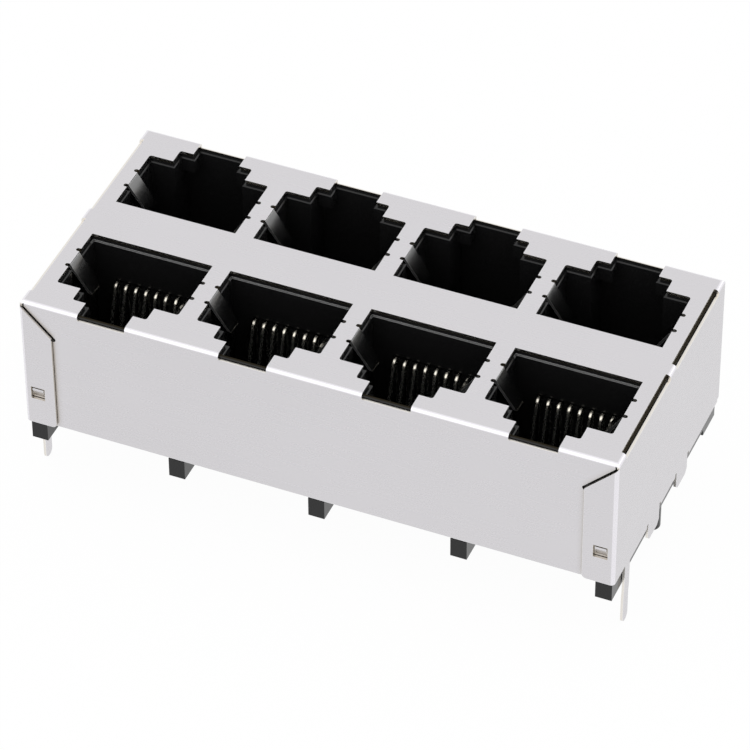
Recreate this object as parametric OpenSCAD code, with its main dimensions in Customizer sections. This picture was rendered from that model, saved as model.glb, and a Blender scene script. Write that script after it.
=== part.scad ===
// Shielded RJ45 board jack: two rows of ports that face up, on one circuit board footprint.
// Millimetres. The origin is the middle of the board plane, on which the feet stand.
// +Z points up out of the ports, X runs along the rows, and the front row is on the -Y side.
// Each row is drawn once, with y counted outwards from the middle plane, and mirrored for the other.

/* [Ports] */
// Ports along each row
port_cols = 4; // [1:1:6]
// Width of the sheet between neighbouring openings; with port_w it makes the 13.97 pitch
port_gap = 1.8; // [1.5:0.01:4]
// Width of a port opening in the shield
port_w = 12.17; // [11.9:0.01:12.5]
// Distance from the middle plane to the contact side of an opening
port_near = 2.52; // [2.4:0.01:3.2]
// Depth of the wide part of an opening, where the plug body goes
plug_depth = 7.52; // [7.2:0.01:8.2]
// Width of the latch shoulder of an opening
shoulder_w = 7.4; // [6.8:0.01:8]
// Depth of the latch shoulder beyond the plug body
shoulder_depth = 1.69; // [1.4:0.01:2]
// Width of the latch notch, which runs out over the fold
notch_w = 4.72; // [4.4:0.01:5.2]
// Rounding of the corners of an opening
port_corner_r = 0.25; // [0.1:0.01:0.4]

/* [Shield] */
// Thickness of the shield sheet
sheet_t = 0.25; // [0.2:0.01:0.3]
// Outside radius of the folds
fold_r = 0.4; // [0.34:0.01:0.6]
// Height of the top face above the board
body_h = 16.55; // [15.5:0.05:19]
// Height of the lower edge of the long walls and the ears above the board
skirt_z = 2.3; // [2.2:0.05:2.8]
// Distance by which the end walls reach lower than the ears
end_drop = 0.3; // [0:0.05:0.5]
// Sheet between the end openings and the outer face of each end wall
end_margin = 2.01; // [1.9:0.01:3]
// Sheet between the latch shoulder and the outer face of each long wall
fold_margin = 1.92; // [1.8:0.01:3]
// Width of the corner ears that lap over the long walls
ear_w = 3.1; // [2.6:0.05:3.6]
// Slack between an ear and the wall that it laps over
ear_gap = 0.06; // [0.03:0.01:0.12]
// Width of the slanted relief slit above each ear
slit_w = 0.3; // [0.2:0.01:0.4]
// Side of the square snap window in each ear
window_s = 1.4; // [1:0.05:1.6]
// Height of the middle of the snap windows below the top face
window_drop = 10.6; // [9:0.1:12]
// Width of the bridges between the slots along the end folds
bridge_w = 1.5; // [1:0.05:2]

/* [Ground fingers] */
// Width of a ground finger at its root
finger_w = 1.9; // [1.6:0.05:2.4]
// Distance from the contact side of the opening to the middle of a finger
finger_at = 3.75; // [3.4:0.05:4.2]
// Straight length of a finger
finger_len = 3.35; // [2.2:0.05:3.4]
// Lean of a finger from upright, in degrees
finger_lean = 33; // [20:1:38]
// Width of the relief cuts beside each finger
relief_w = 0.42; // [0.2:0.02:0.5]

/* [Legs and tabs] */
// Width of the ground legs
leg_w = 1.25; // [1:0.05:1.8]
// Distance of the ground legs from the middle plane, towards the front
leg_at = 10.5; // [9.5:0.1:11.2]
// Length of the ground legs below the board plane
leg_drop = 4.9; // [3.5:0.1:5.5]
// Inward set of the lower half of the ground legs, which makes them grip the board
leg_set = 0.04; // [0:0.01:0.2]
// Width of the standing tabs
tab_w = 2.9; // [2:0.1:3.2]
// Distance of the standing tabs from the middle plane
tab_at = 3.7; // [3:0.1:5]
// Gap between the standing tabs and the board
tab_lift = 0.1; // [0:0.05:0.6]

/* [Housing] */
// Clearance between the housing and the shield walls
wall_gap = 0.06; // [0.03:0.01:0.1]
// Step from the edge of a shield opening to the cavity wall below it
cavity_inset = 0.22; // [0.15:0.01:0.35]
// Width and depth of the step round the mouth of each cavity
lip = 0.3; // [0.2:0.01:0.4]
// Height of the cavity floor above the board
floor_z = 4.6; // [4.2:0.1:5.5]
// Thickness of the catch ledges beside each latch notch
catch_t = 1.8; // [1.4:0.05:2.2]
// Thickness of the housing wall outside the latch notches
notch_wall = 0.45; // [0.35:0.01:0.6]
// Height of the housing underside above the board
belly_z = 0.7; // [0.4:0.05:0.8]
// Distance by which the underside is set back from the long walls
belly_setback = 2.4; // [1.6:0.05:2.6]
// Width of the feet
foot_w = 1.6; // [1.4:0.05:1.8]
// Distance by which the toes of the feet stand out from the housing wall
foot_toe = 0.2; // [0.08:0.01:0.25]
// Diameter of the locating pegs
peg_d = 2.0; // [1.6:0.05:2.4]
// Length of the locating pegs below the board plane
peg_drop = 2.9; // [1.6:0.1:3.2]
// Distance of the locating pegs from the outer faces of the end walls
peg_in = 1.6; // [1.5:0.05:1.9]

/* [Contacts] */
// Contacts in each port
contact_count = 8; // [4:2:8]
// Distance between neighbouring contacts
contact_pitch = 1.02; // [1:0.005:1.05]
// Width of a contact
contact_w = 0.3; // [0.3:0.01:0.42]
// Thickness of a contact
contact_t = 0.28; // [0.22:0.01:0.32]
// Depth of the contact crowns below the top face
crown_drop = 4.75; // [4.3:0.05:5.5]
// Radius of the contact crowns, to the middle of the wire
crown_r = 0.45; // [0.38:0.01:0.55]
// Lean of the spring arms from upright, in degrees
arm_lean = 18; // [14:1:20]
// Distance of the nearer row of solder tails from the middle plane
tail_near = 3.9; // [3.7:0.05:4.3]
// Distance between the two rows of solder tails
tail_row = 2.54; // [2.2:0.01:2.7]
// Length of the solder tails below the board plane
tail_drop = 3.2; // [2.5:0.1:3.6]
// Radius of the contact bends above the solder tails
tail_bend_r = 0.4; // [0.35:0.01:0.45]

/* [Contact carriers] */
// Play of a carrier in its pocket, on each side
carrier_play = 0.05; // [0.03:0.01:0.1]
// Thickness of the housing web between the two rows of carriers
web_t = 0.9; // [0.6:0.05:1.2]
// Play of a contact in its groove, on each side
groove_play = 0.04; // [0.02:0.01:0.06]
// Height of the comb that guides the contact ends above the cavity floor
comb_h = 1.2; // [0.8:0.1:1.6]

/* [Hidden] */
$fn = 48;
ROWS = ["front", "back"];
SETS = ["odd", "even"];
SHIELD_COLOUR = [0.82, 0.82, 0.83];
HOUSING_COLOUR = [0.07, 0.07, 0.08];
CARRIER_COLOUR = [0.05, 0.05, 0.06];
CONTACT_COLOUR = [0.86, 0.78, 0.55];

// Derived sizes of the shield
port_pitch = port_w + port_gap;
shield_l = (port_cols - 1) * port_pitch + port_w + 2 * end_margin;
half_l = shield_l / 2;
plug_far = port_near + plug_depth;
shoulder_far = plug_far + shoulder_depth;
half_d = shoulder_far + fold_margin;
ear_face = half_d + ear_gap + sheet_t;
under_top = body_h - sheet_t;
fold_in_r = fold_r - sheet_t;
window_x = half_l - ear_w / 2 + 0.15;
window_z = body_h - window_drop;
finger_y = port_near + finger_at;
slot_edge = half_l - fold_r - 0.1;
slot_z = body_h - fold_r - 0.2;
notch_z = body_h - fold_r - 0.2;

// Derived sizes of the housing
housing_x = half_l - sheet_t - wall_gap;
housing_y = half_d - sheet_t - wall_gap;
cavity_w = port_w - 2 * cavity_inset;
cavity_near = port_near + cavity_inset;
cavity_far = plug_far - cavity_inset;
catch_w = shoulder_w - 2 * cavity_inset;
catch_far = shoulder_far - cavity_inset;
slot_w = notch_w - 2 * cavity_inset;
slot_far = housing_y - notch_wall;
belly_y = housing_y - belly_setback;
wall_z = skirt_z - 0.2;

// Derived sizes of the contacts and their carriers
crown_top = body_h - crown_drop;
riser_y = cavity_near - contact_t / 2 - 0.1;
crown_y = riser_y + crown_r;
crown_z = crown_top - contact_t / 2 - crown_r;
arm_y = crown_y + crown_r * cos(arm_lean);
arm_z = crown_z + crown_r * sin(arm_lean);
arm_end_z = floor_z - 0.1;
arm_len = (arm_z - arm_end_z) / cos(arm_lean);
arm_end_y = arm_y + arm_len * sin(arm_lean);
run_z = belly_z + 0.3 + contact_t / 2;
carrier_top = crown_top - 0.3;
groove_w = contact_w + 2 * groove_play;
groove_y = riser_y - contact_t / 2 - groove_play;
carrier_w = cavity_w - 2 * carrier_play;
comb_near = arm_end_y - 1.3;
comb_far = arm_end_y + 0.75;
EPS = 0.01;
FAR = 60;

function port_x(c) = (c - (port_cols + 1) / 2) * port_pitch;
function contact_x(i) = (i - (contact_count + 1) / 2) * contact_pitch;

// ---- Shared shapes ----

// Repeats its children on both sides of a mirror plane
module both(v) {
    children();
    mirror(v) children();
}

// Places its children in one row: y then counts outwards from the middle plane
module in_row(row) {
    mirror([0, row == "front" ? 1 : 0, 0]) children();
}

// Extrudes a profile drawn in X and Z over a span of Y
module along_y(y0, y1) {
    translate([0, y1, 0]) rotate([90, 0, 0]) linear_extrude(y1 - y0) children();
}

// Extrudes a profile drawn in Y and Z over a span of X
module along_x(x0, x1) {
    translate([x0, 0, 0]) rotate([90, 0, 90]) linear_extrude(x1 - x0) children();
}

// A box from its two opposite corners
module block(low, high) {
    translate(low) cube(high - low);
}

// A flat strip bent round a centre, of radius r to its middle, from angle a0 to angle a1
module strip_bend(r, t, a0, a1) {
    steps = 4;
    intersection() {
        difference() {
            circle(r + t / 2);
            circle(r - t / 2);
        }
        polygon(concat([[0, 0]],
            [for (k = [0:steps]) let (a = a0 + (a1 - a0) * k / steps) 3 * r * [cos(a), sin(a)]]));
    }
}

// An upright wall profile with its two upper corners rounded
module arch(w, z0, z1, r) {
    translate([-w / 2, z0]) square([w, z1 - z0 - r]);
    translate([-w / 2 + r, z1 - r - EPS]) square([w - 2 * r, r + EPS]);
    both([1, 0]) translate([w / 2 - r, z1 - r]) circle(r);
}

// Sheet folded down at both sides of a flat top
module folded_channel(w) {
    difference() {
        arch(w, skirt_z, body_h, fold_r);
        arch(w - 2 * sheet_t, skirt_z - 1, under_top, fold_in_r);
    }
}

// ---- Shield ----

// Outline of one port opening, with its latch notch run out past the fold
module port_outline() {
    r = port_corner_r;
    half = port_w / 2;
    translate([-half, port_near]) square([port_w, plug_depth - r]);
    translate([-half + r, port_near]) square([port_w - 2 * r, plug_depth]);
    both([1, 0]) translate([half - r, plug_far - r]) circle(r);
    translate([-shoulder_w / 2, plug_far - 1]) square([shoulder_w, 1 + shoulder_depth - r]);
    translate([-shoulder_w / 2 + r, plug_far - 1]) square([shoulder_w - 2 * r, 1 + shoulder_depth]);
    both([1, 0]) translate([shoulder_w / 2 - r, shoulder_far - r]) circle(r);
}

// Relief cuts beside the fingers, each with a round end
module finger_reliefs() {
    reach = fold_r / 2;
    both([1, 0])
        for (side = [-1, 1])
            translate([port_w / 2, finger_y + side * (finger_w + relief_w) / 2]) {
                translate([-reach, -relief_w / 2]) square([2 * reach, relief_w]);
                translate([reach, 0]) circle(relief_w / 2);
            }
}

// One spring finger on the +X side of a port, bent down into the cavity
module finger() {
    mid_r = fold_r - sheet_t / 2;
    turn = 90 - finger_lean;
    knee = [port_w / 2 - mid_r * sin(turn) + mid_r, under_top + sheet_t / 2 - mid_r + mid_r * cos(turn)];
    tip_r = 0.6;
    tip_turn = 35;
    tip_z = knee[1] - finger_len * cos(finger_lean) - tip_r * sin(finger_lean);
    taper = 0.1;
    tip_round = 0.25;
    intersection() {
        along_y(finger_y - finger_w / 2, finger_y + finger_w / 2) {
            translate([port_w / 2 + mid_r, body_h - sheet_t / 2 - mid_r])
                strip_bend(mid_r, sheet_t, 90, 90 + turn);
            translate(knee) rotate(-90 - finger_lean) translate([-0.02, -sheet_t / 2])
                square([finger_len + 0.04, sheet_t]);
            translate(knee + finger_len * [-sin(finger_lean), -cos(finger_lean)]
                + tip_r * [cos(finger_lean), -sin(finger_lean)])
                strip_bend(tip_r, sheet_t, 180 - finger_lean, 180 - finger_lean + tip_turn);
        }
        along_x(0, port_w)
            polygon([
                [finger_y - finger_w / 2, body_h + 1],
                [finger_y + finger_w / 2, body_h + 1],
                [finger_y + finger_w / 2, body_h - 1],
                [finger_y + finger_w / 2 - taper, tip_z + tip_round],
                [finger_y + finger_w / 2 - taper - tip_round, tip_z],
                [finger_y - finger_w / 2 + taper + tip_round, tip_z],
                [finger_y - finger_w / 2 + taper, tip_z + tip_round],
                [finger_y - finger_w / 2, body_h - 1]
            ]);
    }
}

// Top sheet and long walls, folded from one strip
module long_fold() {
    difference() {
        along_x(-half_l + fold_r, half_l - fold_r) folded_channel(2 * half_d);
        both([1, 0, 0]) slanted_slit();
    }
}

// Top sheet and end walls, folded from the same sheet, with the end folds carried on into the corners
module end_fold() {
    reach = half_d - fold_r;
    along_y(-reach, reach) folded_channel(shield_l);
    intersection() {
        along_y(-half_d, half_d) folded_channel(shield_l);
        both([1, 0, 0])
            along_x(half_l - fold_r, half_l) arch(2 * half_d, body_h - fold_r - EPS, body_h, fold_r);
    }
}

// The slit that frees the top corner of a long wall from the ear below it
module slanted_slit() {
    for (side = [-1, 1])
        along_y(side * half_d - 1, side * half_d + 1)
            slit_profile();
}

// Slit profile in X and Z: a slanted bar with a round lower end, just above the slanted top of an ear
module slit_profile() {
    hole_r = slit_w / 2 + 0.1;
    translate([half_l - ear_w - slit_w / 4, body_h - fold_r - ear_w - slit_w / 4]) {
        translate([0, -hole_r / 2]) circle(hole_r);
        rotate(45) translate([0, -slit_w / 2]) square([2 * ear_w, slit_w]);
    }
}

// End walls carried round the corners into the ears, in plan
module ring_plan() {
    difference() {
        rounded_plan(half_l, ear_face, fold_r);
        rounded_plan(half_l - sheet_t, ear_face - sheet_t, fold_in_r);
        square([2 * (half_l - ear_w), FAR], center = true);
    }
}

// A rectangle in plan with round corners, given by its half sizes
module rounded_plan(hx, hy, r) {
    square([2 * (hx - r), 2 * hy], center = true);
    square([2 * hx, 2 * (hy - r)], center = true);
    both([1, 0]) both([0, 1]) translate([hx - r, hy - r]) circle(r);
}

// End walls with their ears: the ears have a slanted top and a rounded lower corner
module end_walls() {
    inner = half_l - ear_w;
    round_r = 0.45;
    difference() {
        translate([0, 0, skirt_z]) linear_extrude(body_h - fold_r - skirt_z) ring_plan();
        both([1, 0, 0])
            both([0, 1, 0])
                along_y(ear_face - fold_r, ear_face + 1)
                    union() {
                        polygon([
                            [inner - 1, body_h - fold_r - ear_w - 1],
                            [half_l + 1, body_h - fold_r + 1],
                            [inner - 1, body_h + 1]
                        ]);
                        difference() {
                            translate([inner - 1, skirt_z - 1]) square([1 + round_r, 1 + round_r]);
                            translate([inner + round_r, skirt_z + round_r]) circle(round_r);
                        }
                        translate([window_x - window_s / 2, window_z - window_s / 2])
                            square(window_s);
                    }
    }
}

// Snap bumps of the long walls, which show in the windows of the ears
module snap_bumps() {
    half_w = window_s / 2 - 0.15;
    half_h = window_s / 2 - 0.2;
    land = 0.25;
    both([1, 0, 0])
        both([0, 1, 0])
            translate([window_x, 0, window_z])
                along_x(-half_w, half_w)
                    polygon([
                        [half_d - EPS, -half_h],
                        [half_d + sheet_t, half_h - land],
                        [half_d + sheet_t, half_h],
                        [half_d - EPS, half_h]
                    ]);
}

// Slots that leave three bridges along each end fold
module fold_slots() {
    reach = half_d - 1.7;
    both([1, 0, 0])
        both([0, 1, 0])
            block([slot_edge, bridge_w / 2, slot_z], [half_l + 1, reach, body_h + 1]);
}

// A ground leg of the +X end wall, whose lower half is set inwards, with a round end
module ground_leg() {
    x = half_l - sheet_t;
    root_z = skirt_z + 0.5;
    set_z = -1.3;
    ramp = 0.5;
    intersection() {
        along_y(-leg_at - leg_w / 2, -leg_at + leg_w / 2)
            polygon([
                [x, root_z],
                [x + sheet_t, root_z],
                [x + sheet_t, set_z + ramp],
                [x + sheet_t - leg_set, set_z - ramp],
                [x + sheet_t - leg_set, -leg_drop],
                [x - leg_set, -leg_drop],
                [x - leg_set, set_z - ramp],
                [x, set_z + ramp]
            ]);
        along_x(x - 1, x + 1)
            translate([-leg_at, 0]) {
                translate([-leg_w / 2, -leg_drop + leg_w / 2]) square([leg_w, root_z + leg_drop - leg_w / 2]);
                translate([0, -leg_drop + leg_w / 2]) circle(leg_w / 2);
            }
    }
}

// A standing tab of the +X end wall, which almost reaches the board
module standing_tab(y) {
    corner = 0.45;
    along_x(half_l - sheet_t, half_l)
        translate([y, 0])
            polygon([
                [-tab_w / 2, skirt_z + 0.5],
                [tab_w / 2, skirt_z + 0.5],
                [tab_w / 2, tab_lift + corner],
                [tab_w / 2 - corner, tab_lift],
                [-tab_w / 2 + corner, tab_lift],
                [-tab_w / 2, tab_lift + corner]
            ]);
}

// Lower strip of the +X end wall, from the ground leg to the back corner
module end_wall_strip() {
    block([half_l - sheet_t, -leg_at, skirt_z - end_drop], [half_l, half_d - fold_r, skirt_z + EPS]);
}

// Relief nicks in the end wall, beside the root of a tab
module tab_nicks(y) {
    nick = 0.35;
    for (side = [-1, 1])
        block([half_l - sheet_t - 1, y + side * (tab_w + nick) / 2 - nick / 2, skirt_z - end_drop - 1],
            [half_l + 1, y + side * (tab_w + nick) / 2 + nick / 2, skirt_z - end_drop + nick]);
}

module shield() {
    color(SHIELD_COLOUR) {
        difference() {
            union() {
                long_fold();
                end_fold();
                end_walls();
                snap_bumps();
                both([1, 0, 0]) end_wall_strip();
            }
            for (row = ROWS, c = [1:port_cols])
                in_row(row)
                    translate([port_x(c), 0, 0]) {
                        translate([0, 0, under_top - 0.5]) linear_extrude(1) {
                            port_outline();
                            finger_reliefs();
                        }
                        block([-notch_w / 2, plug_far, notch_z], [notch_w / 2, half_d + 1, body_h + 1]);
                    }
            fold_slots();
            both([1, 0, 0]) both([0, 1, 0]) tab_nicks(tab_at);
        }
        for (row = ROWS, c = [1:port_cols])
            in_row(row) translate([port_x(c), 0, 0]) both([1, 0, 0]) finger();
        both([1, 0, 0]) {
            ground_leg();
            both([0, 1, 0]) standing_tab(tab_at);
        }
    }
}

// ---- Housing ----

// A rectangular hole whose mouth widens in a step below the top sheet
module lipped_hole(w, y0, y1, z0) {
    block([-w / 2, y0, z0], [w / 2, y1, under_top + 1]);
    intersection() {
        along_y(y0 - lip, y1 + lip) lip_profile(-w / 2, w / 2);
        along_x(-w / 2 - lip, w / 2 + lip) lip_profile(y0, y1);
    }
}

// Stepped mouth between two walls, with a small chamfer at the edge of the step
module lip_profile(a, b) {
    chamfer = 0.1;
    polygon([
        [a, under_top - lip - chamfer],
        [b, under_top - lip - chamfer],
        [b + chamfer, under_top - lip],
        [b + lip, under_top - lip],
        [b + lip, under_top + 1],
        [a - lip, under_top + 1],
        [a - lip, under_top - lip],
        [a - chamfer, under_top - lip]
    ]);
}

// Everything that is open inside the housing at one port
module port_cavity() {
    room_x = port_w / 2 + 0.35;
    room_y = finger_w / 2 + 0.2;
    room_z = body_h - finger_len - 1.6;
    crown_room = contact_x(contact_count) + contact_w;
    lipped_hole(cavity_w, cavity_near, cavity_far, belly_z - 1);
    lipped_hole(catch_w, cavity_far - 1, catch_far, floor_z);
    lipped_hole(slot_w, catch_far - 1, slot_far, floor_z);
    block([-catch_w / 2, catch_far - 1, floor_z], [catch_w / 2, slot_far, under_top - catch_t]);
    block([-room_x, finger_y - room_y, room_z], [room_x, finger_y + room_y, body_h]);
    block([-cavity_w / 2, web_t / 2, belly_z - 1], [cavity_w / 2, cavity_near + EPS, carrier_top]);
    block([-crown_room, groove_y - 0.1, carrier_top - EPS], [crown_room, cavity_near + EPS, crown_top + 0.2]);
}

// Feet of one row: one at each port boundary, with the end feet kept inside the end walls
module feet() {
    end_x = housing_x + foot_toe - foot_w / 2;
    heel_y = belly_y - 0.5;
    for (k = [0:port_cols]) {
        x = min(max((k - port_cols / 2) * port_pitch, -end_x), end_x);
        block([x - foot_w / 2, heel_y, 0], [x + foot_w / 2, housing_y + foot_toe, wall_z]);
        block([x - foot_w / 2, heel_y, 0], [x + foot_w / 2, housing_y, wall_z + 1]);
    }
}

// Side view of the housing block, bevelled along its top edges to clear the folds of the shield
module bevelled_block(half) {
    bevel = fold_in_r + 0.05;
    polygon([
        [-half, wall_z],
        [half, wall_z],
        [half, under_top - bevel],
        [half - bevel, under_top],
        [-half + bevel, under_top],
        [-half, under_top - bevel]
    ]);
}

// A locating peg with a chamfered end
module locating_peg() {
    chamfer = 0.3;
    rotate_extrude()
        polygon([
            [0, -peg_drop],
            [peg_d / 2 - chamfer, -peg_drop],
            [peg_d / 2, -peg_drop + chamfer],
            [peg_d / 2, belly_z + 0.5],
            [0, belly_z + 0.5]
        ]);
}

module housing() {
    rim_w = foot_w - 0.55;
    color(HOUSING_COLOUR)
        difference() {
            union() {
                intersection() {
                    along_x(-housing_x, housing_x) bevelled_block(housing_y);
                    along_y(-housing_y, housing_y) bevelled_block(housing_x);
                }
                block([-housing_x, -belly_y, belly_z], [housing_x, belly_y, wall_z + 1]);
                both([1, 0, 0])
                    block([housing_x - rim_w, -housing_y, belly_z], [housing_x, housing_y, wall_z + 1]);
                for (row = ROWS) in_row(row) feet();
                both([1, 0, 0]) translate([half_l - peg_in, 0, 0]) locating_peg();
            }
            for (row = ROWS, c = [1:port_cols])
                in_row(row) translate([port_x(c), 0, 0]) port_cavity();
        }
}

// ---- Contact carriers ----

// A carrier: a back plate and a base, grooved for the contacts, with a comb for their free ends
module carrier() {
    plate_y = web_t / 2 + carrier_play;
    color(CARRIER_COLOUR)
        difference() {
            union() {
                block([-carrier_w / 2, plate_y, belly_z], [carrier_w / 2, cavity_near, carrier_top]);
                block([-carrier_w / 2, cavity_near - 1, belly_z],
                    [carrier_w / 2, cavity_far - carrier_play, floor_z]);
                along_x(-carrier_w / 2, carrier_w / 2)
                    polygon([
                        [comb_near, floor_z - 0.5],
                        [comb_far, floor_z - 0.5],
                        [comb_far, floor_z + comb_h - 0.4],
                        [comb_far - 0.4, floor_z + comb_h],
                        [comb_near, floor_z + comb_h]
                    ]);
            }
            for (i = [1:contact_count])
                translate([contact_x(i), 0, 0]) contact_grooves(i);
        }
}

// Room for one contact in its carrier
module contact_grooves(i) {
    half = groove_w / 2;
    tail_y = tail_near + (i % 2 == 0 ? tail_row : 0);
    block([-half, groove_y, belly_z - 1], [half, cavity_near + 1, carrier_top + 1]);
    block([-half, groove_y, belly_z - 1],
        [half, tail_y + contact_t / 2 + groove_play, run_z + contact_t / 2 + groove_play]);
    block([-half - 0.03, cavity_near + 0.3, floor_z - 0.6],
        [half + 0.03, arm_end_y + 0.35, floor_z + comb_h + 1]);
}

// ---- Contacts ----

// Side view of a contact: tail, run, riser, crown and spring arm, in Y and Z
module contact_profile(tail_y) {
    t = contact_t;
    r = tail_bend_r;
    point = 0.3;
    polygon([
        [tail_y - t / 2, run_z - r],
        [tail_y + t / 2, run_z - r],
        [tail_y + t / 2, -tail_drop + point],
        [tail_y + t / 4, -tail_drop],
        [tail_y - t / 4, -tail_drop],
        [tail_y - t / 2, -tail_drop + point]
    ]);
    translate([tail_y - r, run_z - r]) strip_bend(r, t, 0, 90);
    translate([riser_y + r - EPS, run_z - t / 2]) square([tail_y - riser_y - 2 * r + 2 * EPS, t]);
    translate([riser_y + r, run_z + r]) strip_bend(r, t, 180, 270);
    translate([riser_y - t / 2, run_z + r - EPS]) square([t, crown_z - run_z - r + 2 * EPS]);
    translate([crown_y, crown_z]) strip_bend(crown_r, t, arm_lean, 180);
    translate([arm_y, arm_z]) rotate(arm_lean - 90) translate([-EPS, -t / 2]) square([arm_len, t]);
}

// Every second contact of one port
module contact_set(set) {
    first = set == "odd" ? 1 : 2;
    tail_y = tail_near + (set == "odd" ? 0 : tail_row);
    color(CONTACT_COLOUR)
        for (i = [first:2:contact_count])
            along_x(contact_x(i) - contact_w / 2, contact_x(i) + contact_w / 2)
                contact_profile(tail_y);
}

// ---- Nodes ----

shield();
housing();
for (row = ROWS, c = [1:port_cols])
    in_row(row) translate([port_x(c), 0, 0]) carrier();
for (row = ROWS, c = [1:port_cols], set = SETS)
    in_row(row) translate([port_x(c), 0, 0]) contact_set(set);
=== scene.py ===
"""Board jack with two rows of upward-facing ports, dressed with its finishes, stage and camera."""

import math

import bmesh
import bpy
from mathutils import Euler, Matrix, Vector


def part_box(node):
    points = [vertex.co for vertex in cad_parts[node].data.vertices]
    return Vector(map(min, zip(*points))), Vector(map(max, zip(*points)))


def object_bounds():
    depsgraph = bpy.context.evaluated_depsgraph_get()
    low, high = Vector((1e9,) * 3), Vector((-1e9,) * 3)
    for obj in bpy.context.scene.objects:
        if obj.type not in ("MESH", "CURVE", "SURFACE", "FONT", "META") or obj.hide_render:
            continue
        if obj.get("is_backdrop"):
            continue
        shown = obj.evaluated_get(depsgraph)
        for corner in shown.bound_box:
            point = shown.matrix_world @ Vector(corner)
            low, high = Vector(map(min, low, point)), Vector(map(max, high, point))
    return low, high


bl_info = {
    "name": "Board jack",
    "version": (1, 0, 0),
    "blender": (4, 5, 0),
    "location": "View3D > Sidebar > Board jack",
    "description": "Dresses a shielded board jack with plated sheet, moulded plastic and spring wire",
    "category": "Object",
}

MM = 0.001

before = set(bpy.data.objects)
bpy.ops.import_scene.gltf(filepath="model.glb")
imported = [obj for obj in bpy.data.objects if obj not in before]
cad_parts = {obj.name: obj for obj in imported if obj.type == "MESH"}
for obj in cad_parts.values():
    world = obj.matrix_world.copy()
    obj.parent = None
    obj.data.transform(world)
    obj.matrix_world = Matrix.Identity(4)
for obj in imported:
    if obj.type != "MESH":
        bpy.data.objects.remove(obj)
CAD_LOW, CAD_HIGH = (Vector(corner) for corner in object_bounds())
SHIELD_LOW, SHIELD_HIGH = (Vector(corner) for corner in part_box("shield"))
TOP_Z = SHIELD_HIGH.z
CROWN_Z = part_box("contacts_front_1_odd")[1][2]
CARRIERS = sorted(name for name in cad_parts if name.startswith("carrier"))
CONTACTS = sorted(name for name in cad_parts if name.startswith("contacts"))

# Limits on the parts of a face's normal, by which the finishes pick out faces
SQUARE = 0.97
TILTED = 0.3
CUT = 0.25

# Limits on places, by which the finishes pick out regions of the shield and of the housing
SKIN_SLACK = 0.01 * MM
INSIDE_VERTICAL_FOLD = SHIELD_HIGH.x - 0.9 * MM
PRESSED_TOP = TOP_Z - 3.0 * MM
END_BEVEL_START = SHIELD_HIGH.x - 1.0 * MM
END_BEVEL_FOOT = TOP_Z - 1.2 * MM
HOUSING_TOP = TOP_Z - 0.4 * MM
STEP_FOOT, STEP_TOP = TOP_Z - 3.0 * MM, TOP_Z - 1.5 * MM
WEB_EDGE = 3.2 * MM

BUMP_HEIGHT = 0.01 * MM
LAMP_DISTANCE = 0.6


# ---- Sizes and colours that a user would change ----

class SheetFinish(bpy.types.PropertyGroup):
    """Finish of the folded shield"""

    plate_colour: bpy.props.FloatVectorProperty(
        name="Plating", description="Colour of the plated sheet", subtype="COLOR",
        size=3, min=0.0, max=1.0, default=(0.672, 0.657, 0.678))
    # Painted highlight: the rounded folds are painted near white, for the bright highlight along them
    fold_highlight_colour: bpy.props.FloatVectorProperty(
        name="Folds", description="Colour of the plating where a fold has burnished it", subtype="COLOR",
        size=3, min=0.0, max=1.0, default=(0.85, 0.83, 0.87))
    edge_colour: bpy.props.FloatVectorProperty(
        name="Cut edge", description="Colour of the bare metal at the cut edges", subtype="COLOR",
        size=3, min=0.0, max=1.0, default=(0.80, 0.765, 0.715))
    # Painted highlight: a narrow near-white line along the cut edges
    rim_highlight_colour: bpy.props.FloatVectorProperty(
        name="Rim", description="Colour of the bright burr along the cut edges", subtype="COLOR",
        size=3, min=0.0, max=1.0, default=(0.95, 0.95, 0.95))
    # Painted shade: a darker warm colour in the crevices by the laps and slots, and on the pressed slopes
    # behind the ears' windows
    lap_shade_colour: bpy.props.FloatVectorProperty(
        name="Laps", description="Warm tint of the plating close to the laps and slots", subtype="COLOR",
        size=3, min=0.0, max=1.0, default=(0.43, 0.395, 0.35))
    # Painted shade: the ground fingers down inside the ports are painted dark grey, and their cut edges
    # darker still
    finger_shade_colour: bpy.props.FloatVectorProperty(
        name="Fingers", description="Colour of the drawn sheet of the ground fingers", subtype="COLOR",
        size=3, min=0.0, max=1.0, default=(0.24, 0.24, 0.24))
    sheet_thickness: bpy.props.FloatProperty(
        name="Sheet", description="Thickness of the sheet", unit="LENGTH", default=0.00025)
    sheet_roughness: bpy.props.FloatProperty(
        name="Roughness", description="Roughness of the plating", default=0.27, min=0.05, max=1.0)
    grain_size: bpy.props.FloatProperty(
        name="Grain", description="Length of the rolling grain", unit="LENGTH", default=0.0008)


class PlasticFinish(bpy.types.PropertyGroup):
    """Finish of the moulded pieces"""

    moulding_colour: bpy.props.FloatVectorProperty(
        name="Moulding", description="Colour of the moulded plastic", subtype="COLOR",
        size=3, min=0.0, max=1.0, default=(0.007, 0.007, 0.0072))
    # Painted highlight: a near-white line along the edge of the step on the middle web
    step_highlight_colour: bpy.props.FloatVectorProperty(
        name="Worn edge", description="Colour of the edge of the step on the middle web", subtype="COLOR",
        size=3, min=0.0, max=1.0, default=(0.80, 0.80, 0.80))
    hidden_colour: bpy.props.FloatVectorProperty(
        name="Under the shield", description="Dull tint of the plastic right under the shield",
        subtype="COLOR",
        size=3, min=0.0, max=1.0, default=(0.016, 0.012, 0.005))
    moulding_gloss: bpy.props.FloatProperty(
        name="Gloss", description="Specular level of the moulded plastic", default=0.30, min=0.0, max=1.0)
    moulding_roughness: bpy.props.FloatProperty(
        name="Roughness", description="Roughness of the moulded plastic", default=0.14, min=0.05, max=1.0)
    texture_size: bpy.props.FloatProperty(
        name="Texture", description="Size of the spark-eroded texture", unit="LENGTH", default=0.00015)


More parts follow.
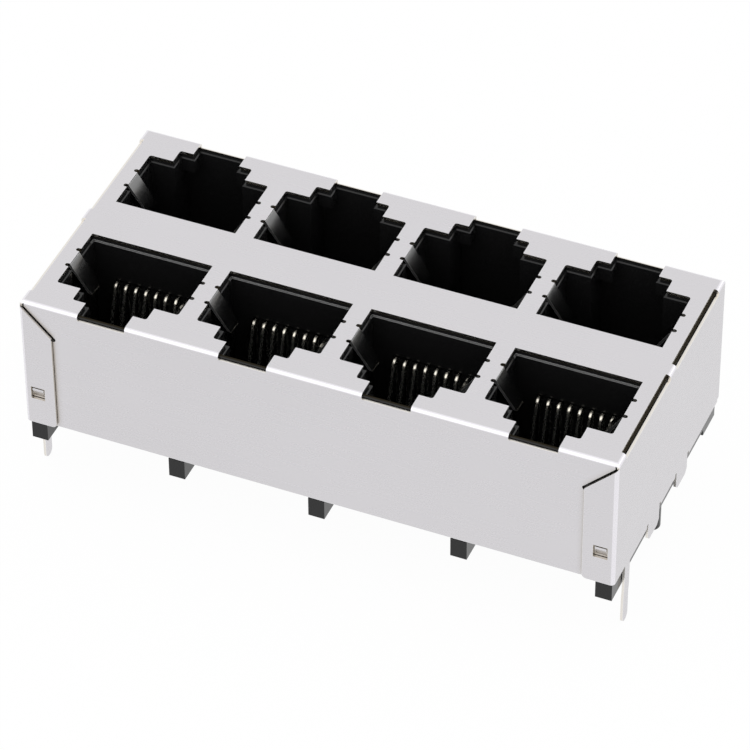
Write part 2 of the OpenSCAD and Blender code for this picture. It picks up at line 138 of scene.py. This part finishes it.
class ContactFinish(bpy.types.PropertyGroup):
    """Finish of the spring contacts"""

    wire_colour: bpy.props.FloatVectorProperty(
        name="Wire", description="Colour of the plated contact wire", subtype="COLOR",
        size=3, min=0.0, max=1.0, default=(0.93, 0.88, 0.76))
    # Bare nickel below the crown, painted dark as shade on the arm down in the port
    arm_nickel_and_shade_colour: bpy.props.FloatVectorProperty(
        name="Arm", description="Colour of the bare nickel below the crown", subtype="COLOR",
        size=3, min=0.0, max=1.0, default=(0.30, 0.30, 0.27))
    # Painted shade: the sides of the wire, where its rounded normal turns sideways, are painted near black
    flank_shade_colour: bpy.props.FloatVectorProperty(
        name="Flank", description="Colour of the sheared flanks of the wire", subtype="COLOR",
        size=3, min=0.0, max=1.0, default=(0.07, 0.07, 0.06))
    gilt_length: bpy.props.FloatProperty(
        name="Gilding", description="Length of the gilt part below the crown", unit="LENGTH", default=0.0009)
    tail_colour: bpy.props.FloatVectorProperty(
        name="Tail", description="Colour of the tinned solder tails", subtype="COLOR",
        size=3, min=0.0, max=1.0, default=(0.66, 0.66, 0.67))
    wire_rounding: bpy.props.FloatProperty(
        name="Rounding", description="Radius of the wire's rounded corners", unit="LENGTH", default=0.00015)
    wire_roughness: bpy.props.FloatProperty(
        name="Roughness", description="Roughness of the contact wire", default=0.26, min=0.05, max=1.0)


class StageSettings(bpy.types.PropertyGroup):
    """Camera, lamps and floor"""

    azimuth: bpy.props.FloatProperty(
        name="Azimuth", description="Camera's turn to the right of the front", subtype="ANGLE",
        default=math.radians(23.146))
    elevation: bpy.props.FloatProperty(
        name="Elevation", description="Camera's height angle above the board", subtype="ANGLE",
        default=math.radians(41.208))
    roll: bpy.props.FloatProperty(
        name="Roll", description="Camera's turn about its own axis", subtype="ANGLE",
        default=math.radians(-0.388))
    aim: bpy.props.FloatVectorProperty(
        name="Aim", description="Point of the top face that the camera looks at", subtype="TRANSLATION",
        unit="LENGTH", size=2, default=(0.004721, -0.01077))
    distance: bpy.props.FloatProperty(
        name="Distance", description="Distance from the camera to the aim", unit="LENGTH", default=0.41144)
    lens: bpy.props.FloatProperty(
        name="Lens", description="Focal length on a 36 mm sensor", default=222.1)
    world_strength: bpy.props.FloatProperty(
        name="World", description="Strength of the even light from all round", default=1.0)
    softbox_strength: bpy.props.FloatProperty(
        name="Softboxes", description="Brightness of the face of each softbox", default=0.4)
    backdrop_share: bpy.props.FloatProperty(
        name="Backdrop", description="Share of the floor that shows as plain backdrop, with no shadow on it",
        min=0.0, max=1.0, default=0.97)


PROPERTY_GROUPS = {
    "jack_sheet": SheetFinish,
    "jack_plastic": PlasticFinish,
    "jack_contact": ContactFinish,
    "jack_stage": StageSettings,
}


# ---- Material helpers ----

def new_material(name):
    """Makes an empty node material and returns its tree with its shader and output"""
    material = bpy.data.materials.new(name)
    material.use_nodes = True
    tree = material.node_tree
    tree.nodes.clear()
    output = tree.nodes.new("ShaderNodeOutputMaterial")
    shader = tree.nodes.new("ShaderNodeBsdfPrincipled")
    tree.links.new(shader.outputs["BSDF"], output.inputs["Surface"])
    return material, tree, shader


def object_point(tree, stretch=(1.0, 1.0, 1.0)):
    """Object coordinates, stretched along each axis"""
    coordinates = tree.nodes.new("ShaderNodeTexCoord")
    mapping = tree.nodes.new("ShaderNodeMapping")
    mapping.inputs["Scale"].default_value = stretch
    tree.links.new(coordinates.outputs["Object"], mapping.inputs["Vector"])
    return mapping.outputs["Vector"]


def noise(tree, point, feature_size, detail=3.0):
    """Noise of one feature size"""
    node = tree.nodes.new("ShaderNodeTexNoise")
    node.inputs["Scale"].default_value = 1.0 / feature_size
    node.inputs["Detail"].default_value = detail
    tree.links.new(point, node.inputs["Vector"])
    return node.outputs["Fac"]


def spread(tree, pattern, low, high):
    """Maps the middle of a noise pattern onto a range"""
    return remap(tree, pattern, 0.3, 0.7, low, high)


def calculate(tree, operation, first, second=None):
    """One step of arithmetic on outputs or numbers"""
    node = tree.nodes.new("ShaderNodeMath")
    node.operation = operation
    for socket, value in zip(node.inputs, (first, second)):
        if isinstance(value, bpy.types.NodeSocket):
            tree.links.new(value, socket)
        elif value is not None:
            socket.default_value = value
    return node.outputs["Value"]


def all_of(tree, *masks):
    """1 where every mask is 1, and their product elsewhere"""
    product = masks[0]
    for mask in masks[1:]:
        product = calculate(tree, "MULTIPLY", product, mask)
    return product


def any_of(tree, *masks):
    """1 where some mask is 1, and their largest value elsewhere"""
    largest = masks[0]
    for mask in masks[1:]:
        largest = calculate(tree, "MAXIMUM", largest, mask)
    return largest


def choose(tree, condition, if_true, if_false):
    """One value where a condition is 1 and another where it is 0"""
    node = tree.nodes.new("ShaderNodeMix")
    tree.links.new(condition, node.inputs["Factor"])
    tree.links.new(if_true, node.inputs["B"])
    tree.links.new(if_false, node.inputs["A"])
    return node.outputs["Result"]


def size_of_parts(tree, output_name):
    """Absolute X, Y and Z of the object's coordinates or of its normal"""
    coordinates = tree.nodes.new("ShaderNodeTexCoord")
    split = tree.nodes.new("ShaderNodeSeparateXYZ")
    tree.links.new(coordinates.outputs[output_name], split.inputs["Vector"])
    return [calculate(tree, "ABSOLUTE", split.outputs[axis]) for axis in "XYZ"]


def corner_mask(tree, radius, sharpest):
    """1 along sharp corners, within a radius of them, and 0 on the faces between"""
    rounded = tree.nodes.new("ShaderNodeBevel")
    rounded.samples = 6
    rounded.inputs["Radius"].default_value = radius
    geometry = tree.nodes.new("ShaderNodeNewGeometry")
    turn = tree.nodes.new("ShaderNodeVectorMath")
    turn.operation = "DOT_PRODUCT"
    tree.links.new(rounded.outputs["Normal"], turn.inputs[0])
    tree.links.new(geometry.outputs["True Normal"], turn.inputs[1])
    return remap(tree, turn.outputs["Value"], sharpest, 0.995, 1.0, 0.0)


def ridge_mask(tree, reach):
    """1 along outer corners, within a reach of them, and 0 elsewhere"""
    node = tree.nodes.new("ShaderNodeAmbientOcclusion")
    node.samples = 8
    node.inside = True
    node.only_local = True
    node.inputs["Distance"].default_value = reach
    return remap(tree, node.outputs["AO"], 0.6, 0.95, 1.0, 0.0)


def crevice_mask(tree, reach):
    """1 in crevices that are narrower than a reach, and 0 in the open"""
    node = tree.nodes.new("ShaderNodeAmbientOcclusion")
    node.samples = 8
    node.only_local = True
    node.inputs["Distance"].default_value = reach
    return remap(tree, node.outputs["AO"], 0.5, 0.95, 1.0, 0.0)


def remap(tree, value, low, high, new_low, new_high):
    """Maps a range of values onto another"""
    node = tree.nodes.new("ShaderNodeMapRange")
    node.inputs["From Min"].default_value = low
    node.inputs["From Max"].default_value = high
    node.inputs["To Min"].default_value = new_low
    node.inputs["To Max"].default_value = new_high
    tree.links.new(value, node.inputs["Value"])
    return node.outputs["Result"]


def blend_colours(tree, factor, colour_a, colour_b):
    """Mixes two colours, each a tuple or an output, by a factor"""
    node = tree.nodes.new("ShaderNodeMix")
    node.data_type = "RGBA"
    tree.links.new(factor, node.inputs["Factor"])
    for socket, colour in ((node.inputs["A"], colour_a), (node.inputs["B"], colour_b)):
        if isinstance(colour, bpy.types.NodeSocket):
            tree.links.new(colour, socket)
        else:
            socket.default_value = (*colour, 1.0)
    return node.outputs["Result"]


def add_bump(tree, shader, height, strength):
    """Gives a shader a low bump from a pattern"""
    node = tree.nodes.new("ShaderNodeBump")
    node.inputs["Strength"].default_value = strength
    node.inputs["Distance"].default_value = BUMP_HEIGHT
    tree.links.new(height, node.inputs["Height"])
    tree.links.new(node.outputs["Normal"], shader.inputs["Normal"])


def set_material(node_name, material):
    """Gives one CAD node a material in all of its slots"""
    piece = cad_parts[node_name]
    if not piece.material_slots:
        piece.data.materials.append(material)
    for slot in piece.material_slots:
        slot.material = material


# ---- Finishes ----

def sheet_masks(tree, finish):
    """Masks of the faces where the sheet was cut through, and of the fingers inside the ports"""
    place = size_of_parts(tree, "Object")
    facing = size_of_parts(tree, "Normal")
    skin = finish.sheet_thickness + SKIN_SLACK
    in_top = calculate(tree, "GREATER_THAN", place[2], TOP_Z - skin)
    in_end = calculate(tree, "GREATER_THAN", place[0], SHIELD_HIGH.x - skin)
    in_long = calculate(tree, "GREATER_THAN", place[1], SHIELD_HIGH.y - 2.5 * skin)
    finger_side = calculate(tree, "SUBTRACT", 1.0, facing[1])
    flatness = choose(tree, in_long, facing[1], finger_side)
    flatness = choose(tree, in_end, facing[0], flatness)
    flatness = choose(tree, in_top, facing[2], flatness)
    cut = calculate(tree, "LESS_THAN", flatness, CUT)

    # A finger's bend lies inside the top sheet, away from the outer folds, and is turned down
    flat_top = calculate(tree, "GREATER_THAN", facing[2], SQUARE)
    near_end = calculate(tree, "GREATER_THAN", place[0], SHIELD_HIGH.x - 2 * skin)
    near_long = calculate(tree, "GREATER_THAN", place[1], SHIELD_HIGH.y - 3 * skin)
    plain_top = all_of(tree, in_top, any_of(tree, flat_top, cut))
    wall = any_of(tree, plain_top, in_end, in_long, near_end, near_long)
    return cut, calculate(tree, "SUBTRACT", 1.0, wall)


def slope_masks(tree):
    """Masks of the rounded folds, and of the slopes pressed into the long walls behind the ears' windows"""
    place = size_of_parts(tree, "Object")
    facing = size_of_parts(tree, "Normal")
    slope = remap(tree, any_of(tree, *facing), 0.96, 0.995, 1.0, 0.0)
    inboard = calculate(tree, "LESS_THAN", place[0], INSIDE_VERTICAL_FOLD)
    low = calculate(tree, "LESS_THAN", place[2], PRESSED_TOP)
    pressed = all_of(tree, slope, inboard, low)
    return calculate(tree, "SUBTRACT", slope, pressed), pressed


def plated_sheet_material(finish):
    """Tin-plated sheet with a rolling grain and bare cut edges, with painted highlights on the folds and
    along the cut edges, and painted shade by the laps, on the pressed slopes and on the fingers
    """
    material, tree, shader = new_material("plated_sheet")
    tone = spread(tree, noise(tree, object_point(tree), 6 * MM), 0.0, 1.0)
    plate = tuple(finish.plate_colour)
    dull = tuple(0.99 * channel for channel in plate)
    finger_edge_shade_colour = tuple(0.4 * channel for channel in finish.finger_shade_colour)
    cut, finger = sheet_masks(tree, finish)
    fold, pressed = slope_masks(tree)
    crevice_shade = crevice_mask(tree, 3 * finish.sheet_thickness)
    finger_edge = all_of(tree, cut, finger)
    # Painted highlight along the sharp cut edges, half as strong on the fingers
    rim_highlight = all_of(tree, corner_mask(tree, 0.06 * MM, 0.8), remap(tree, finger, 0.0, 1.0, 1.0, 0.5))
    colour = blend_colours(tree, tone, dull, plate)
    # Painted highlight on the rounded folds
    colour = blend_colours(tree, fold, colour, tuple(finish.fold_highlight_colour))
    # Painted shade on the pressed slopes behind the ears' windows, and in the crevices by the laps and slots
    colour = blend_colours(tree, calculate(tree, "MULTIPLY", pressed, 0.45), colour, tuple(finish.lap_shade_colour))
    colour = blend_colours(tree, crevice_shade, colour, tuple(finish.lap_shade_colour))
    # Painted shade on the ground fingers inside the ports, then bare metal on the cut edges, then darker
    # painted shade on the fingers' cut edges
    colour = blend_colours(tree, finger, colour, tuple(finish.finger_shade_colour))
    colour = blend_colours(tree, cut, colour, tuple(finish.edge_colour))
    colour = blend_colours(tree, finger_edge, colour, finger_edge_shade_colour)
    colour = blend_colours(tree, rim_highlight, colour, tuple(finish.rim_highlight_colour))
    tree.links.new(colour, shader.inputs["Base Color"])
    grain = noise(tree, object_point(tree, (0.12, 1.0, 1.0)), finish.grain_size, 4.0)
    roughness = spread(tree, grain, finish.sheet_roughness - 0.02, finish.sheet_roughness + 0.02)
    polish = remap(tree, finger, 0.0, 1.0, 1.0, 0.55)
    tree.links.new(calculate(tree, "MULTIPLY", roughness, polish), shader.inputs["Roughness"])
    tree.links.new(remap(tree, finger_edge, 0.0, 1.0, 1.0, 0.3), shader.inputs["Metallic"])
    shader.inputs["Specular Tint"].default_value = (0.925, 0.925, 0.925, 1.0)
    add_bump(tree, shader, grain, 0.006)
    return material


def under_shield(tree):
    """1 on the housing's top and end bevels, which lie right under the shield, and 0 elsewhere"""
    place = size_of_parts(tree, "Object")
    facing = size_of_parts(tree, "Normal")
    bevel = all_of(
        tree,
        calculate(tree, "GREATER_THAN", facing[0], TILTED),
        calculate(tree, "LESS_THAN", facing[0], SQUARE),
        calculate(tree, "GREATER_THAN", place[0], END_BEVEL_START),
        calculate(tree, "GREATER_THAN", place[2], END_BEVEL_FOOT))
    return any_of(tree, bevel, calculate(tree, "GREATER_THAN", place[2], HOUSING_TOP))


def moulding_material(name, finish):
    """Black moulded plastic with a fine spark-eroded texture, dull under the shield, and a painted highlight
    along the edge of the step on the middle web
    """
    material, tree, shader = new_material(name)
    speckle = noise(tree, object_point(tree), finish.texture_size)
    tone = spread(tree, speckle, 0.0, 1.0)
    dark = tuple(finish.moulding_colour)
    pale = tuple(1.6 * channel for channel in dark)
    colour = blend_colours(tree, tone, dark, pale)
    place = size_of_parts(tree, "Object")
    near_step = remap(tree, place[2], STEP_FOOT, STEP_TOP, 0.0, 1.0)
    on_web = calculate(tree, "LESS_THAN", place[1], WEB_EDGE)
    # Painted highlight along the outer edge of the step on the middle web
    ridge_highlight = all_of(tree, ridge_mask(tree, 0.1 * MM), near_step, on_web)
    colour = blend_colours(tree, ridge_highlight, colour, tuple(finish.step_highlight_colour))
    hidden = under_shield(tree)
    colour = blend_colours(tree, hidden, colour, tuple(finish.hidden_colour))
    tree.links.new(colour, shader.inputs["Base Color"])
    shader.inputs["Specular IOR Level"].default_value = finish.moulding_gloss
    roughness = spread(tree, speckle, finish.moulding_roughness - 0.04, finish.moulding_roughness + 0.04)
    tree.links.new(any_of(tree, roughness, hidden), shader.inputs["Roughness"])
    add_bump(tree, shader, speckle, 0.08)
    return material


def contact_material(finish):
    """Spring wire: gilt at the crown, bare nickel along the arm painted darker as shade, painted shade on the
    flanks, and tinned at the tail
    """
    material, tree, shader = new_material("contact_wire")
    coordinates = tree.nodes.new("ShaderNodeTexCoord")
    split = tree.nodes.new("ShaderNodeSeparateXYZ")
    tree.links.new(coordinates.outputs["Object"], split.inputs["Vector"])
    height = split.outputs["Z"]
    plated = remap(tree, height, 0.0, 1.0 * MM, 0.0, 1.0)
    gilt_end, gilt_full = CROWN_Z - finish.gilt_length, CROWN_Z - 0.3 * finish.gilt_length
    gilt = remap(tree, height, gilt_end, gilt_full, 0.0, 1.0)
    # Tinned tail, then bare nickel painted dark as shade along the arm, then the gilt crown
    colour = blend_colours(tree, plated, tuple(finish.tail_colour), tuple(finish.arm_nickel_and_shade_colour))
    colour = blend_colours(tree, gilt, colour, tuple(finish.wire_colour))
    rounded = tree.nodes.new("ShaderNodeBevel")
    rounded.samples = 8
    rounded.inputs["Radius"].default_value = finish.wire_rounding
    turned = tree.nodes.new("ShaderNodeVectorTransform")
    turned.vector_type = "NORMAL"
    turned.convert_from, turned.convert_to = "WORLD", "OBJECT"
    tree.links.new(rounded.outputs["Normal"], turned.inputs["Vector"])
    sides = tree.nodes.new("ShaderNodeSeparateXYZ")
    tree.links.new(turned.outputs["Vector"], sides.inputs["Vector"])
    # Painted shade on the wire's flanks, weaker below the gilt crown
    flank_shade = remap(tree, calculate(tree, "ABSOLUTE", sides.outputs["X"]), 0.03, 0.28, 0.0, 1.0)
    flank_shade = all_of(tree, flank_shade, remap(tree, gilt, 0.0, 1.0, 0.3, 1.0))
    colour = blend_colours(tree, flank_shade, colour, tuple(finish.flank_shade_colour))
    tree.links.new(colour, shader.inputs["Base Color"])
    shader.inputs["Metallic"].default_value = 0.9
    tree.links.new(rounded.outputs["Normal"], shader.inputs["Normal"])
    streak = noise(tree, object_point(tree, (1.0, 1.0, 0.1)), 0.2 * MM)
    roughness = spread(tree, streak, finish.wire_roughness - 0.04, finish.wire_roughness + 0.04)
    tree.links.new(roughness, shader.inputs["Roughness"])
    return material


# ---- Operators ----

class JACK_OT_shield(bpy.types.Operator):
    """Finishes the folded shield"""

    bl_idname = "jack.shield"
    bl_label = "Finish the shield"

    def execute(self, context):
        set_material("shield", plated_sheet_material(context.scene.jack_sheet))
        return {"FINISHED"}


class JACK_OT_mouldings(bpy.types.Operator):
    """Finishes the housing and the contact carriers"""

    bl_idname = "jack.mouldings"
    bl_label = "Finish the mouldings"

    def execute(self, context):
        set_material("housing", moulding_material("housing_plastic", context.scene.jack_plastic))
        carrier = moulding_material("carrier_plastic", context.scene.jack_plastic)
        for name in CARRIERS:
            set_material(name, carrier)
        return {"FINISHED"}


class JACK_OT_contacts(bpy.types.Operator):
    """Finishes the spring contacts"""

    bl_idname = "jack.contacts"
    bl_label = "Finish the contacts"

    def execute(self, context):
        wire = contact_material(context.scene.jack_contact)
        for name in CONTACTS:
            set_material(name, wire)
        return {"FINISHED"}


def add_softbox(name, strength, size, place, target):
    """An area lamp of a given brightness that faces a target"""
    data = bpy.data.lights.new(name, "AREA")
    data.shape = "RECTANGLE"
    data.size, data.size_y = size
    data.energy = strength * math.pi * size[0] * size[1]
    lamp = bpy.data.objects.new(name, data)
    lamp.location = place
    lamp.rotation_euler = (Vector(target) - Vector(place)).to_track_quat("-Z", "Y").to_euler()
    bpy.context.scene.collection.objects.link(lamp)


class JACK_OT_stage(bpy.types.Operator):
    """Adds the floor, the lamps, the world and the camera"""

    bl_idname = "jack.stage"
    bl_label = "Add the stage"

    def execute(self, context):
        settings = context.scene.jack_stage
        self.add_floor(context, settings)
        self.add_world(context, settings)
        self.add_camera(context, settings)
        centre = Vector((0.0, 0.0, TOP_Z / 2))
        for name, size, direction in (
                ("front_softbox", (0.4, 0.8), (-0.3, -0.78, 0.55)),
                ("back_softbox", (0.2, 0.24), (0.66, 0.69, 0.36))):
            place = centre + LAMP_DISTANCE * Vector(direction)
            add_softbox(name, settings.softbox_strength, size, place, centre)
        context.scene.view_settings.view_transform = "Standard"
        return {"FINISHED"}

    def add_floor(self, context, settings):
        """A wide white floor under the lowest point of the legs, with a faint shadow on it"""
        mesh = bpy.data.meshes.new("floor")
        shape = bmesh.new()
        bmesh.ops.create_grid(shape, x_segments=1, y_segments=1, size=2.0)
        shape.to_mesh(mesh)
        shape.free()
        floor = bpy.data.objects.new("floor", mesh)
        context.scene.collection.objects.link(floor)
        floor.location.z = CAD_LOW.z
        material = bpy.data.materials.new("floor")
        material.use_nodes = True
        tree = material.node_tree
        tree.nodes.clear()
        output = tree.nodes.new("ShaderNodeOutputMaterial")
        matte = tree.nodes.new("ShaderNodeBsdfDiffuse")
        matte.inputs["Color"].default_value = (0.95, 0.95, 0.95, 1.0)
        glow = tree.nodes.new("ShaderNodeEmission")
        path = tree.nodes.new("ShaderNodeLightPath")
        seen = calculate(tree, "MAXIMUM", path.outputs["Is Camera Ray"], path.outputs["Is Glossy Ray"])
        seen = calculate(tree, "MAXIMUM", seen, path.outputs["Is Transmission Ray"])
        share = calculate(tree, "MULTIPLY", seen, settings.backdrop_share)
        mix = tree.nodes.new("ShaderNodeMixShader")
        tree.links.new(share, mix.inputs["Fac"])
        tree.links.new(matte.outputs["BSDF"], mix.inputs[1])
        tree.links.new(glow.outputs["Emission"], mix.inputs[2])
        tree.links.new(mix.outputs["Shader"], output.inputs["Surface"])
        mesh.materials.append(material)
        floor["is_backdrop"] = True

    def add_world(self, context, settings):
        """Even white light, shown as plain white behind the floor's edge"""
        world = bpy.data.worlds.new("even_light")
        world.use_nodes = True
        tree = world.node_tree
        tree.nodes.clear()
        output = tree.nodes.new("ShaderNodeOutputWorld")
        soft = tree.nodes.new("ShaderNodeBackground")
        soft.inputs["Color"].default_value = (1.0, 1.0, 1.0, 1.0)
        soft.inputs["Strength"].default_value = settings.world_strength
        tree.links.new(soft.outputs["Background"], output.inputs["Surface"])
        context.scene.world = world

    def add_camera(self, context, settings):
        """A long lens that looks down on the ports from the front right"""
        data = bpy.data.cameras.new("camera")
        data.lens = settings.lens
        data.sensor_width = 36.0
        data.clip_start = 0.01
        camera = bpy.data.objects.new("camera", data)
        back = Vector((
            math.sin(settings.azimuth) * math.cos(settings.elevation),
            -math.cos(settings.azimuth) * math.cos(settings.elevation),
            math.sin(settings.elevation)))
        target = Vector((*settings.aim, TOP_Z))
        camera.location = target + back * settings.distance
        turn = (-back).to_track_quat("-Z", "Y").to_matrix() @ Euler((0.0, 0.0, settings.roll)).to_matrix()
        camera.rotation_euler = turn.to_euler()
        context.scene.collection.objects.link(camera)
        context.scene.camera = camera


class JACK_PT_panel(bpy.types.Panel):
    """Lists the jack's steps and settings"""

    bl_idname = "JACK_PT_panel"
    bl_label = "Board jack"
    bl_space_type = "VIEW_3D"
    bl_region_type = "UI"
    bl_category = "Board jack"

    def draw(self, context):
        for operator in OPERATORS:
            self.layout.operator(operator.bl_idname)
        for name, group in PROPERTY_GROUPS.items():
            box = self.layout.box()
            for key in group.__annotations__:
                box.prop(getattr(context.scene, name), key)


OPERATORS = (JACK_OT_shield, JACK_OT_mouldings, JACK_OT_contacts, JACK_OT_stage)
CLASSES = (*PROPERTY_GROUPS.values(), *OPERATORS, JACK_PT_panel)


def register():
    for cls in CLASSES:
        bpy.utils.register_class(cls)
    for name, group in PROPERTY_GROUPS.items():
        setattr(bpy.types.Scene, name, bpy.props.PointerProperty(type=group))


def unregister():
    for name in PROPERTY_GROUPS:
        delattr(bpy.types.Scene, name)
    for cls in reversed(CLASSES):
        bpy.utils.unregister_class(cls)


def main():
    """Runs every step"""
    register()
    bpy.ops.jack.stage()
    bpy.ops.jack.shield()
    bpy.ops.jack.mouldings()
    bpy.ops.jack.contacts()


if __name__ == "__main__":
    main()
